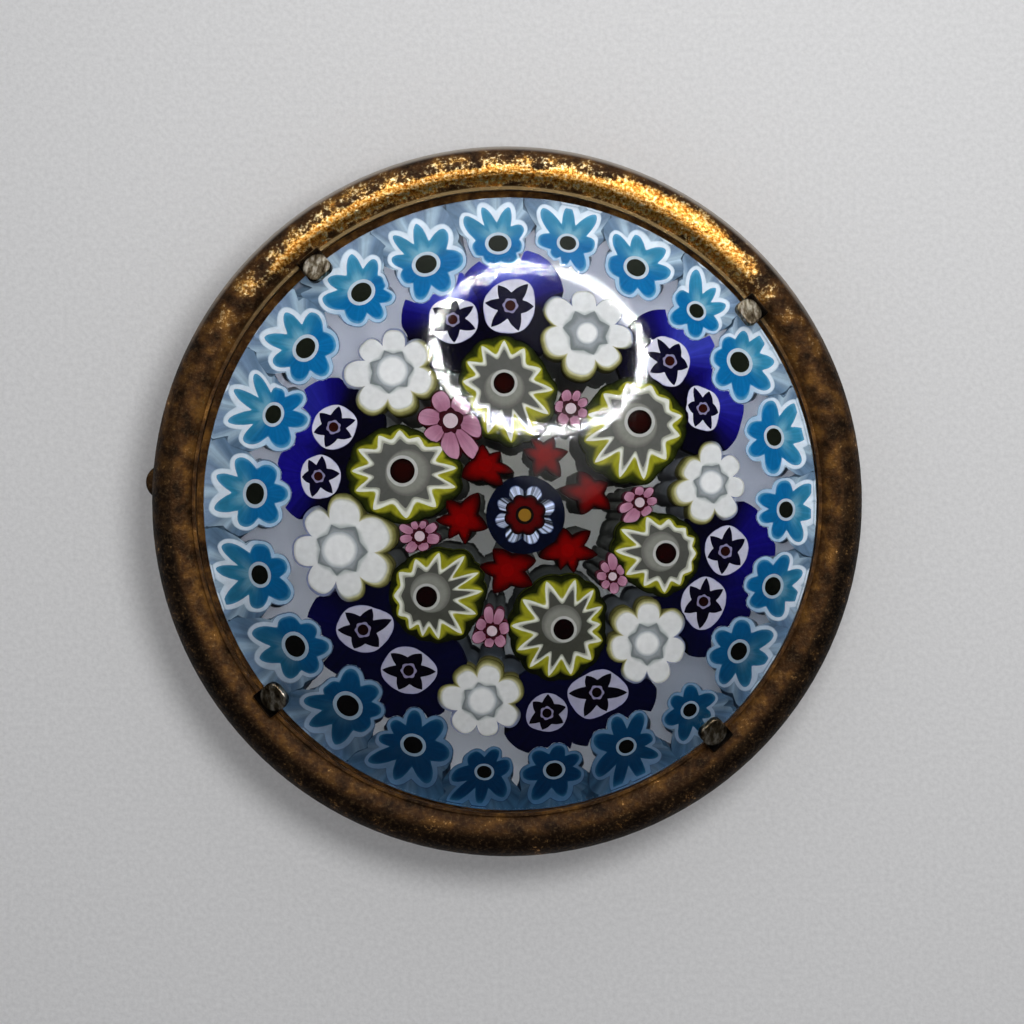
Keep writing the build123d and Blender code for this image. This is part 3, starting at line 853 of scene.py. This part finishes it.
def cane_tree(name, kind):
    """Node tree that grows each seed face into a cane: the bands of its top, then its side to its foot."""
    inputs = {label: "NodeSocketFloat" for label in DOME_INPUTS + ("Foot", "Focus", "Flare")}
    tree, given, identifiers = node_group(f"{name}_canes", {**inputs, "Axis": "NodeSocketVector"})
    edge = bpy.data.node_groups.get("cane_edge") or edge_group()
    shape, ring, faces = given["Geometry"], True, True
    for number, band in enumerate([disc(kind.bands[0].glass, SEED_RADIUS), *kind.bands]):
        if number:
            grown = {"Mesh": shape, "Selection": ring, "Offset Scale": 0.0}
            grown = add_node(tree, "GeometryNodeExtrudeMesh", grown, mode="EDGES").outputs
            shape, ring, faces = grown["Mesh"], grown["Top"], grown["Side"]
        laid = {
            "Geometry": shape,
            "Selection": ring,
            "Crest": band.crest,
            "Groove": band.groove,
            "Crest Plus": band.crest_plus * MM,
            "Groove Plus": band.groove_plus * MM,
            "Point": band.point,
            "Hollow": band.hollow,
            "Shift": band.shift * MM,
            "Spread": band.spread * MM,
            "Inset": band.inset * MM,
            "Squeeze": kind.squeeze,
            "Sharpen": kind.sharpen,
            **{label: given[label] for label in DOME_INPUTS},
        }
        laid = add_node(tree, "GeometryNodeGroup", laid, node_tree=edge)
        glass = cane_glass(band.glass, max(number - 1, 0))
        glazed = {"Geometry": laid, "Selection": faces, "Material": glass}
        glazed = add_node(tree, "GeometryNodeSetMaterial", glazed)
        counted = {"Geometry": glazed, "Selection": ring, "Name": "bands", "Value": number}
        shape = add_node(tree, "GeometryNodeStoreNamedAttribute", counted, data_type="FLOAT", domain="POINT")

    values = {label: given[label] for label in inputs}
    values["here"] = add_node(tree, "GeometryNodeInputPosition")
    marked = {"Geometry": shape, "Name": "brink", "Value": values["here"]}
    settings = {"data_type": "FLOAT_VECTOR", "domain": "POINT"}
    shape = add_node(tree, "GeometryNodeStoreNamedAttribute", marked, **settings)
    for label in ("outward", "wall", "bands", "down", "centre", "way", "brink"):
        sort = "FLOAT_VECTOR" if label in VECTOR_READINGS else "FLOAT"
        values[label] = add_node(tree, "GeometryNodeInputNamedAttribute", {"Name": label}, data_type=sort)
    steps = (
        ("away", "vector SUBTRACT", "brink", "centre"),
        ("flat", "vector MULTIPLY", "away", (1, 1, 0)),
        ("radius", "vector LENGTH", "flat"),
        ("centre squared", "vector DOT_PRODUCT", "centre", "centre"),
        ("inner sphere", "SUBTRACT", "Sphere", "Cover"),
        ("sphere squared", "MULTIPLY", "inner sphere", "inner sphere"),
        ("drop", "SUBTRACT", "sphere squared", "centre squared"),
        ("arc", "SQRT", "drop"),
        ("top", "ADD", "Middle", "arc"),
        ("rise", "SUBTRACT", "top", "Foot"),
        ("depth", "ADD", "rise", "Focus"),
        ("gather", "DIVIDE", "Focus", "depth"),
        ("rimward", "MAXIMUM", "outward", 0.0),
        ("flared", "MULTIPLY_ADD", "rimward", "Flare", 1.0),
        ("gathered", "MULTIPLY", "radius", "gather"),
        ("spread", "MULTIPLY", "gathered", "flared"),
        ("foot radius", "MINIMUM", "spread", "wall"),
        ("root", "vector SCALE", "centre", "gather"),
        ("sink", "upright", "Foot"),
        ("foot", "vector ADD", "root", "sink"),
        ("ray", "vector SCALE", "way", "foot radius"),
        ("sole", "vector ADD", "foot", "ray"),
    )
    add_formula(tree, values, steps)
    for share, end in (*((share, "sole") for share in SIDE_RINGS), (1.0, "foot")):
        grown = {"Mesh": shape, "Selection": ring, "Offset Scale": 0.0}
        grown = add_node(tree, "GeometryNodeExtrudeMesh", grown, mode="EDGES").outputs
        shape, ring = grown["Mesh"], grown["Top"]
        spot = add_formula(tree, values, [("spot", "vector blend", share, "brink", end)])["spot"]
        placed = {"Geometry": shape, "Selection": ring, "Position": spot}
        shape = add_node(tree, "GeometryNodeSetPosition", placed)
    closed = {"Geometry": shape, "Selection": ring, "Distance": 0.001 * MM}
    closed = add_node(tree, "GeometryNodeMergeByDistance", closed)
    sunk = add_formula(tree, values, [("sunk", "vector SUBTRACT", "brink", "here")])["sunk"]
    values["sunk"] = add_node(tree, "ShaderNodeSeparateXYZ", {"Vector": sunk}).outputs["Z"]
    steps = (
        ("sunk", "MULTIPLY", "sunk", 1 / MM),
        ("below", "GREATER_THAN", "down", 0.001),
        ("level", "SUBTRACT", 1.0, "below"),
        ("last band", "GREATER_THAN", "bands", len(kind.bands) - 0.001),
        ("edge", "MULTIPLY", "level", "last band"),
    )
    add_formula(tree, values, steps)
    measured = {"Geometry": closed, "Name": "down", "Value": values["sunk"]}
    shape = add_node(tree, "GeometryNodeStoreNamedAttribute", measured, data_type="FLOAT", domain="POINT")
    shape = add_node(tree, "GeometryNodeSetShadeSmooth", {"Geometry": shape}, domain="FACE")
    crisp = {"Geometry": shape, "Selection": values["edge"], "Shade Smooth": False}
    shape = add_node(tree, "GeometryNodeSetShadeSmooth", crisp, domain="EDGE")
    shape = add_node(tree, "GeometryNodeTransform", {"Geometry": shape, "Translation": given["Axis"]})
    for label in ("centre", "reach", "room", "wall", "size", "brink"):
        shape = add_node(tree, "GeometryNodeRemoveAttribute", {"Geometry": shape, "Name": label})
    real = add_node(tree, "GeometryNodeRealizeInstances", {"Geometry": shape})
    side = cane_glass(kind.side, len(kind.bands), side=True)
    sided = {"Geometry": real, "Selection": values["below"], "Material": side}
    sided = add_node(tree, "GeometryNodeSetMaterial", sided)
    add_node(tree, "NodeGroupOutput", {"Geometry": sided})
    return tree, identifiers


def dome_sphere(sizes):
    """Radius of the dome's sphere and the height of its middle."""
    rise = DOME_HIGH.z - DOME_LOW.z - sizes.girdle
    sphere = (GLASS_RADIUS**2 + rise**2) / (2 * rise)
    return sphere, DOME_HIGH.z - sphere


def turn_outwards(mesh):
    """Turns a closed mesh's faces outwards."""
    work = bmesh.new()
    work.from_mesh(mesh)
    bmesh.ops.recalc_face_normals(work, faces=work.faces)
    work.to_mesh(mesh)
    work.free()


def build_canes(name, kind, sizes):
    """One mesh for all the canes of a kind, with the bands of their pattern as its own faces."""
    seeds = cane_seeds(name, kind, sizes)
    tree, identifiers = cane_tree(name, kind)
    modifier = seeds.modifiers.new("Canes", "NODES")
    modifier.node_group = tree
    sphere, middle = dome_sphere(sizes)
    wanted = {
        "Cover": sizes.cane_cover,
        "Sphere": sphere,
        "Middle": middle,
        "Foot": GROUND_TOP + FOOT_GAP,
        "Focus": sizes.cane_focus if kind.leans else NO_FOCUS,
        "Flare": kind.flare,
        "Axis": (GLASS_X, GLASS_Y, 0.0),
    }
    for label, value in wanted.items():
        modifier[identifiers[label]] = value
    graph = bpy.context.evaluated_depsgraph_get()
    mesh = bpy.data.meshes.new_from_object(seeds.evaluated_get(graph), depsgraph=graph)
    seeds.modifiers.remove(modifier)
    seeds.data = mesh
    turn_outwards(mesh)
    return seeds


def dome_section(sizes):
    """Section of the clear dome as (radius, height) points, from the middle of its underside to its top."""
    bottom = DOME_LOW.z
    sphere, middle = dome_sphere(sizes)
    inset = sizes.edge_round
    reach = math.sqrt((sphere - inset) ** 2 - (GLASS_RADIUS - inset) ** 2)
    centre = (GLASS_RADIUS - inset, middle + reach)
    meet = math.asin((GLASS_RADIUS - inset) / (sphere - inset))
    section = [(0.0, bottom), (GLASS_RADIUS * 0.5, bottom), (GLASS_RADIUS - FOOT_CHAMFER, bottom)]
    section += [(GLASS_RADIUS, bottom + FOOT_CHAMFER), (GLASS_RADIUS, centre[1])]
    for step in range(1, EDGE_STEPS + 1):
        tilt = math.pi / 2 + (meet - math.pi / 2) * step / EDGE_STEPS
        section.append((centre[0] + inset * math.sin(tilt), centre[1] + inset * math.cos(tilt)))
    for step in range(1, DOME_STEPS):
        tilt = meet * (1 - step / DOME_STEPS)
        section.append((sphere * math.sin(tilt), middle + sphere * math.cos(tilt)))
    return section + [(0.0, DOME_HIGH.z)]


def build_dome(sizes):
    """The clear dome, turned from its section about the glass's axis and closed at its two poles."""
    (_, low), *section, (_, high) = dome_section(sizes)
    count = DOME_SEGMENTS
    turns = [2 * math.pi * i / count for i in range(count)]
    points = [
        (GLASS_X + radius * math.cos(turn), GLASS_Y + radius * math.sin(turn), height)
        for radius, height in section
        for turn in turns
    ]
    faces = []
    for start in range(0, len(points) - count, count):
        for i in range(count):
            j = (i + 1) % count
            faces.append((start + i, start + j, start + count + j, start + count + i))
    last, foot, top = len(points) - count, len(points), len(points) + 1
    for i in range(count):
        j = (i + 1) % count
        faces += [(foot, j, i), (last + i, last + j, top)]
    dome = add_object("cast_dome", points + [(GLASS_X, GLASS_Y, low), (GLASS_X, GLASS_Y, high)], faces)
    turn_outwards(dome.data)
    dome.data.shade_smooth()
    return dome


def clear_glass(tint):
    """Cast clear soda-lime glass with the fine crinkle of its polished dome, which lets lamps through."""
    material, tree, values = new_material("clear_cast_glass")
    steps = (
        # The underside is fused to the glass below it, so it shows no sharp reflection of a lamp
        ("fused", "LESS_THAN", "z", DOME_LOW.z + 0.02 * MM),
        ("rough", "MULTIPLY_ADD", "fused", 0.4, 0.05),
        # Crinkle about 0.3 mm across, which stirs the edges of a reflected lamp a little
        ("crinkle", "noise", "place", 1 / (0.3 * MM), 1.0),
        ("normal", "bump", "crinkle", 1.0, 0.0062 * MM),
    )
    add_formula(tree, values, steps)
    inputs = {
        "Base Color": (*tint, 1.0),
        "Roughness": values["rough"],
        "IOR": 1.5,
        "Transmission Weight": 1.0,
        "Normal": values["normal"],
    }
    lit_through(tree, add_node(tree, "ShaderNodeBsdfPrincipled", inputs), 0.7)
    return material


def ground_material():
    """Opaque ground glass, lit as if it rose with the canes under the dome, with painted shade towards the
    bottom and in the middle.
    """
    material, tree, values = new_material("lavender_ground_glass")
    add_ground_look(tree, values)
    inputs = {
        "Base Color": values["ground tone"],
        "Roughness": 0.6,
        "Specular IOR Level": 0.0,
        "Normal": values["risen"],
    }
    shader = add_node(tree, "ShaderNodeBsdfPrincipled", inputs)
    add_node(tree, "ShaderNodeOutputMaterial", {"Surface": shader})
    return material


def gilt_material():
    """Stamped brass, gilt and stippled: a painted highlight of bright golden gilding on its far crest,
    painted shade on its near side, tarnished brown to black elsewhere.
    """
    material, tree, values = new_material("worn_gilt_brass")
    steps = [
        ("drawn out", "vector MULTIPLY", "place", (1.0, 0.3, 1.0)),
        # Sandy stipple of the stamping, 0.14 mm grain, specks of bare gilding, 0.22 mm, blooms of tarnish,
        # 1.3 mm, and scratches on the claws, 0.35 mm wide
        ("stipple", "noise", "place", 1 / (0.14 * MM), 2.0, 0.6),
        ("speck", "noise", "place", 1 / (0.22 * MM), 4.0, 0.7),
        ("bloom", "noise", "place", 1 / (1.3 * MM), 3.0, 0.6),
        ("scratch", "noise", "drawn out", 1 / (0.35 * MM), 4.0, 0.6),
        ("x squared", "MULTIPLY", "x", "x"),
        ("all squared", "MULTIPLY_ADD", "y", "y", "x squared"),
        ("radius", "SQRT", "all squared"),
        ("wavering", "SUBTRACT", "bloom", 0.5),
        ("wandering", "MULTIPLY_ADD", "wavering", 1.2 * MM, "radius"),
        # Shares of the near and the far side, which the painted shade and painted light follow, the bright
        # right-hand stretch of the painted highlight and what is left of it, the brown inner half, the lip
        # and its top, the very edge, what lies inside it, and the rim as against the wall and the back
        ("near", "smooth range", "y", -2 * MM, -40 * MM),
        ("far side", "smooth range", "y", 7 * MM, 17 * MM),
        ("east", "smooth range", "x", 3 * MM, 11 * MM),
        ("unturned", "smooth range", "x squared", 0.3 * MM, 0.11 * MM),
        ("rising", "smooth range", "y", -4 * MM, 8 * MM),
        ("inner", "smooth range", "wandering", 21 * MM, 20.5 * MM),
        ("lip", "smooth range", "radius", 19.6 * MM, 19.5 * MM),
        ("lip top", "smooth range", "z", 6.2 * MM, 6.3 * MM),
        ("edge", "smooth range", "radius", 21.7 * MM, 21.95 * MM),
        ("outer", "smooth range", "radius", 21.75 * MM, 21.2 * MM),
        ("upper", "smooth range", "z", 4.4 * MM, 5 * MM),
        ("far", "MULTIPLY", "far side", "upper"),
        # A painted highlight: a bell across the rim, whose crest moves outwards and widens on the right
        ("middle", "MULTIPLY_ADD", "east", 0.35 * MM, 20.3 * MM),
        ("width", "MULTIPLY_ADD", "east", 0.45 * MM, 0.34 * MM),
        ("from crest", "SUBTRACT", "radius", "middle"),
        ("swell", "DIVIDE", "from crest", "width"),
        ("swell squared", "MULTIPLY", "swell", "swell"),
        ("minus", "MULTIPLY", "swell squared", -1.0),
        ("bell", "EXPONENT", "minus"),
        ("shining", "MULTIPLY", "bell", "far"),
        ("bright", "MULTIPLY", "shining", "unturned"),
        # Painted light: on the far side the specks of gilding glint and the tarnish turns browner
        ("sown", "MULTIPLY", "far", "outer"),
        ("speckled", "MULTIPLY", "speck", "bloom"),
        ("spangled", "MULTIPLY_ADD", "sown", 0.1, "speckled"),
        ("rubbed", "MULTIPLY_ADD", "bright", 0.3, "spangled"),
        ("worn", "smooth range", "rubbed", 0.34, 0.46),
        # Painted highlights on the far side: the silvery edge and the pale top of the lip
        ("silvered", "MULTIPLY", "edge", "far"),
        ("lit lip", "MULTIPLY", "lip", "far"),
        ("bare lip", "MULTIPLY", "lit lip", "lip top"),
        # The tarnish browns towards the far side and the top, which is painted light, and is black on the
        # outer half, which is partly painted shade
        ("browner", "MULTIPLY_ADD", "sown", 0.9, "inner"),
        ("browned", "MULTIPLY_ADD", "rising", 0.65, "browner"),
        ("claw", "range", "z", CLAW_START, 6.8 * MM),
    ]
    # The claws' crowns are scoured bare, and their dark corners are partly tarnish and partly painted shade
    # that makes the claws look rounded
    values["near claw"] = 1.0
    for x, y in CLAW_CROWNS:
        steps.append(("off crown", "vector DISTANCE", "place", (x * MM, y * MM, CROWN_HEIGHT)))
        steps.append(("near claw", "MINIMUM", "near claw", "off crown"))
    steps += [
        ("corner", "smooth range", "near claw", 0.78 * MM, 0.92 * MM),
        ("dull corner", "MULTIPLY", "corner", "claw"),
        # Bare gilding as a shaded coppery-red copy on the near side and a lit golden copy on the far one,
        # painted shade and painted light
        ("gold", "ramp", "speck", (0.34, "#7A3A10"), (0.45, "#CC7E26"), (0.54, "#F4BE60"), (0.64, "#FFEFC0")),
        ("copper", "ramp", "speck", (0.35, "#4A2A14"), (0.52, "#7E5228"), (0.68, "#BC9058")),
        ("gilt", "blend", "far", "copper", "gold"),
        # Tarnish: a dull coat, near black on the outer half and warm brown on the inner one, with paler
        # flecks. The black outer half is partly painted shade of the slope turned from the light, and the
        # browner far side and top are painted light.
        ("black", "ramp", "bloom", (0.35, "#0C0704"), (0.5, "#1A110A"), (0.68, "#382818")),
        ("brown", "ramp", "bloom", (0.35, "#241608"), (0.5, "#4A3018"), (0.68, "#805828")),
        ("skin", "blend", "browned", "black", "brown"),
        ("fleck", "range", "speck", 0.5, 0.75, 0.0, 0.4),
        # In turn: painted shade on the near side, pale flecks, bare gilding with its painted highlight, and
        # painted highlights on the silvery far edge and the pale far lip
        ("skin", "blend", "near", "skin", "#1E1107"),
        ("skin", "blend", "fleck", "skin", "#7C6242"),
        ("skin", "blend", "worn", "skin", "gilt"),
        ("skin", "blend", "silvered", "skin", "#A8A096"),
        ("skin", "blend", "bare lip", "skin", "#86704C"),
        # The claws are scratched silver under brown tarnish
        ("silver", "ramp", "scratch", (0.36, "#3A2E22"), (0.5, "#84765F"), (0.64, "#E4DCCC")),
        ("skin", "blend", "claw", "skin", "silver"),
        ("skin", "blend", "dull corner", "skin", "#100B08"),
        ("bare", "MAXIMUM", "worn", "claw"),
        ("metal", "MULTIPLY_ADD", "bare", 0.65, 0.35),
        ("rough", "MULTIPLY_ADD", "bare", -0.2, 0.5),
        ("grain", "bump", "stipple", 1.0, 0.035 * MM),
        ("pits", "bump", "speck", 0.6, 0.05 * MM, "grain"),
    ]
    add_formula(tree, values, steps)
    inputs = {
        "Base Color": values["skin"],
        "Metallic": values["metal"],
        "Roughness": values["rough"],
        "Specular IOR Level": 0.1,
        "Normal": values["pits"],
    }
    shader = add_node(tree, "ShaderNodeBsdfPrincipled", inputs)
    add_node(tree, "ShaderNodeOutputMaterial", {"Surface": shader})
    return material


def floor_material():
    """Matt pale grey paper with a fine felted grain."""
    material, tree, values = new_material("pale_paper")
    steps = (
        # Fibres about 0.3 mm across
        ("fibres", "noise", "place", 1 / (0.3 * MM), 3.0, 0.6),
        ("colour", "ramp", "fibres", (0.3, "#E4E4E4"), (0.7, "#F0F0F0")),
        ("felt", "bump", "fibres", 0.5, 0.04 * MM),
    )
    add_formula(tree, values, steps)
    inputs = {
        "Base Color": values["colour"],
        "Roughness": 0.9,
        "Specular IOR Level": 0.1,
        "Normal": values["felt"],
    }
    shader = add_node(tree, "ShaderNodeBsdfPrincipled", inputs)
    add_node(tree, "ShaderNodeOutputMaterial", {"Surface": shader})
    return material


def room_walls():
    """Walls of the room: soft fill on matt surfaces, dim in reflections, pale behind the stage."""
    world = bpy.data.worlds.new("studio")
    world.use_nodes = True
    tree = world.node_tree
    tree.nodes.clear()
    path = add_node(tree, "ShaderNodeLightPath").outputs
    way = add_node(tree, "ShaderNodeTexCoord").outputs["Generated"]
    values = {"north": add_node(tree, "ShaderNodeSeparateXYZ", {"Vector": way}).outputs["Y"]}
    add_formula(tree, values, [("far", "smooth range", "north", 0.6, 1.0, 0.03, 0.9)])
    fill, dim, pale = (
        add_node(tree, "ShaderNodeBackground", {"Color": linear(colour), "Strength": strength})
        for colour, strength in (("#FAFAFF", 0.205), ("#FFFFFF", values["far"]), ("#C8C9CA", 1.0))
    )
    matt = add_node(tree, "ShaderNodeMixShader", {0: path["Is Diffuse Ray"], 1: dim, 2: fill})
    mix = add_node(tree, "ShaderNodeMixShader", {0: path["Is Camera Ray"], 1: matt, 2: pale})
    add_node(tree, "ShaderNodeOutputWorld", {"Surface": mix})
    return world


def add_lamp(context, name, size, energy, spot):
    """A round area lamp turned towards the brooch."""
    data = bpy.data.lights.new(name, "AREA")
    data.shape = "DISK"
    data.size = size
    data.energy = energy
    lamp = bpy.data.objects.new(name, data)
    lamp.location = spot
    lamp.rotation_euler = (AIM - spot).to_track_quat("-Z", "Y").to_euler()
    context.collection.objects.link(lamp)
    return lamp


def add_soft_lamps(context, sizes):
    """The soft lamps over the far side that light the matt surfaces."""
    for name, (size, share, away, shadows) in SOFT_LAMPS.items():
        lamp = add_lamp(context, name, size, sizes.light * share, AIM + Vector(away))
        lamp.data.color = sizes.light_colour
        lamp.data.use_shadow = shadows
        lamp.visible_glossy = False


def add_ring_lamp(context):
    """A round tube lamp high up on the far side, seen only in reflections."""
    lean = math.sin(RING_TILT)
    towards = Vector((lean * math.cos(RING_SWING), lean * math.sin(RING_SWING), math.cos(RING_TILT)))
    side = towards.cross(Vector((0, 0, 1))).normalized()
    up = side.cross(towards)
    radius = RING_DISTANCE * math.tan(RING_SPREAD)
    for i in range(RING_COUNT):
        turn = 2 * math.pi * i / RING_COUNT
        around = side * math.cos(turn) + up * math.sin(turn) * RING_FLATNESS
        spot = AIM + towards * RING_DISTANCE + around * radius
        lamp = add_lamp(context, f"ring_lamp_{i}", RING_DISC, RING_POWER, spot)
        lamp.visible_diffuse = False


class BROOCH_OT_canes(bpy.types.Operator):
    """Add the glass canes of every kind"""

    bl_idname = "brooch.canes"
    bl_label = "Glass Canes"

    def execute(self, context):
        for name, kind in KINDS.items():
            piece = build_canes(f"{name}_cane_glass", kind, context.scene.brooch_sizes)
            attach(piece, "root")
            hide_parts(kind.node)
        return {"FINISHED"}


class BROOCH_OT_dome(bpy.types.Operator):
    """Add the clear dome cast over the canes"""

    bl_idname = "brooch.dome"
    bl_label = "Clear Dome"

    def execute(self, context):
        sizes = context.scene.brooch_sizes
        piece = build_dome(sizes)
        piece.data.materials.append(clear_glass(sizes.glass_tint))
        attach(piece, "root")
        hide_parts("clear_dome")
        return {"FINISHED"}


class BROOCH_OT_metal(bpy.types.Operator):
    """Finish the setting, the fastening and the ground plate"""

    bl_idname = "brooch.metal"
    bl_label = "Setting"

    def execute(self, context):
        gilt = gilt_material()
        finishes = {"setting": gilt, "pin_fastening": gilt, "ground_glass": ground_material()}
        for name, material in finishes.items():
            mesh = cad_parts[name].data
            mesh.materials.clear()
            mesh.materials.append(material)
        return {"FINISHED"}


class BROOCH_OT_stage(bpy.types.Operator):
    """Add the pale floor, the lamps and the camera"""

    bl_idname = "brooch.stage"
    bl_label = "Stage"

    def execute(self, context):
        sizes = context.scene.brooch_sizes
        corners = [(x * FLOOR_HALF, y * FLOOR_HALF, 0) for x, y in ((-1, -1), (1, -1), (1, 1), (-1, 1))]
        floor = add_object("pale_floor", corners, [(0, 1, 2, 3)])
        floor.data.materials.append(floor_material())

        camera_data = bpy.data.cameras.new("camera")
        camera_data.sensor_width = 36.0
        camera_data.lens = camera_data.sensor_width * sizes.camera_distance / sizes.view_width
        camera_data.clip_start = 0.01
        camera = bpy.data.objects.new("camera", camera_data)
        camera.location = AIM + Vector((0, 0, sizes.camera_distance))
        context.collection.objects.link(camera)
        context.scene.camera = camera

        add_soft_lamps(context, sizes)
        add_ring_lamp(context)
        context.scene.world = room_walls()
        context.scene.view_settings.view_transform = "Standard"
        return {"FINISHED"}


class BROOCH_PT_panel(bpy.types.Panel):
    """Lists the brooch's pieces in the sidebar"""

    bl_label = "Millefiori Brooch"
    bl_idname = "BROOCH_PT_panel"
    bl_space_type = "VIEW_3D"
    bl_region_type = "UI"
    bl_category = "Brooch"

    def draw(self, context):
        layout = self.layout
        for operator in (BROOCH_OT_stage, BROOCH_OT_metal, BROOCH_OT_canes, BROOCH_OT_dome):
            layout.operator(operator.bl_idname)
        for name in BroochSizes.__annotations__:
            layout.prop(context.scene.brooch_sizes, name)


CLASSES = (BroochSizes, BROOCH_OT_stage, BROOCH_OT_metal, BROOCH_OT_canes, BROOCH_OT_dome, BROOCH_PT_panel)


def register():
    for cls in CLASSES:
        bpy.utils.register_class(cls)
    bpy.types.Scene.brooch_sizes = bpy.props.PointerProperty(type=BroochSizes)


def unregister():
    del bpy.types.Scene.brooch_sizes
    for cls in reversed(CLASSES):
        bpy.utils.unregister_class(cls)


def main():
    """Builds the brooch piece by piece."""
    register()
    bpy.ops.brooch.stage()
    bpy.ops.brooch.metal()
    bpy.ops.brooch.canes()
    bpy.ops.brooch.dome()


if __name__ == "__main__":
    main()
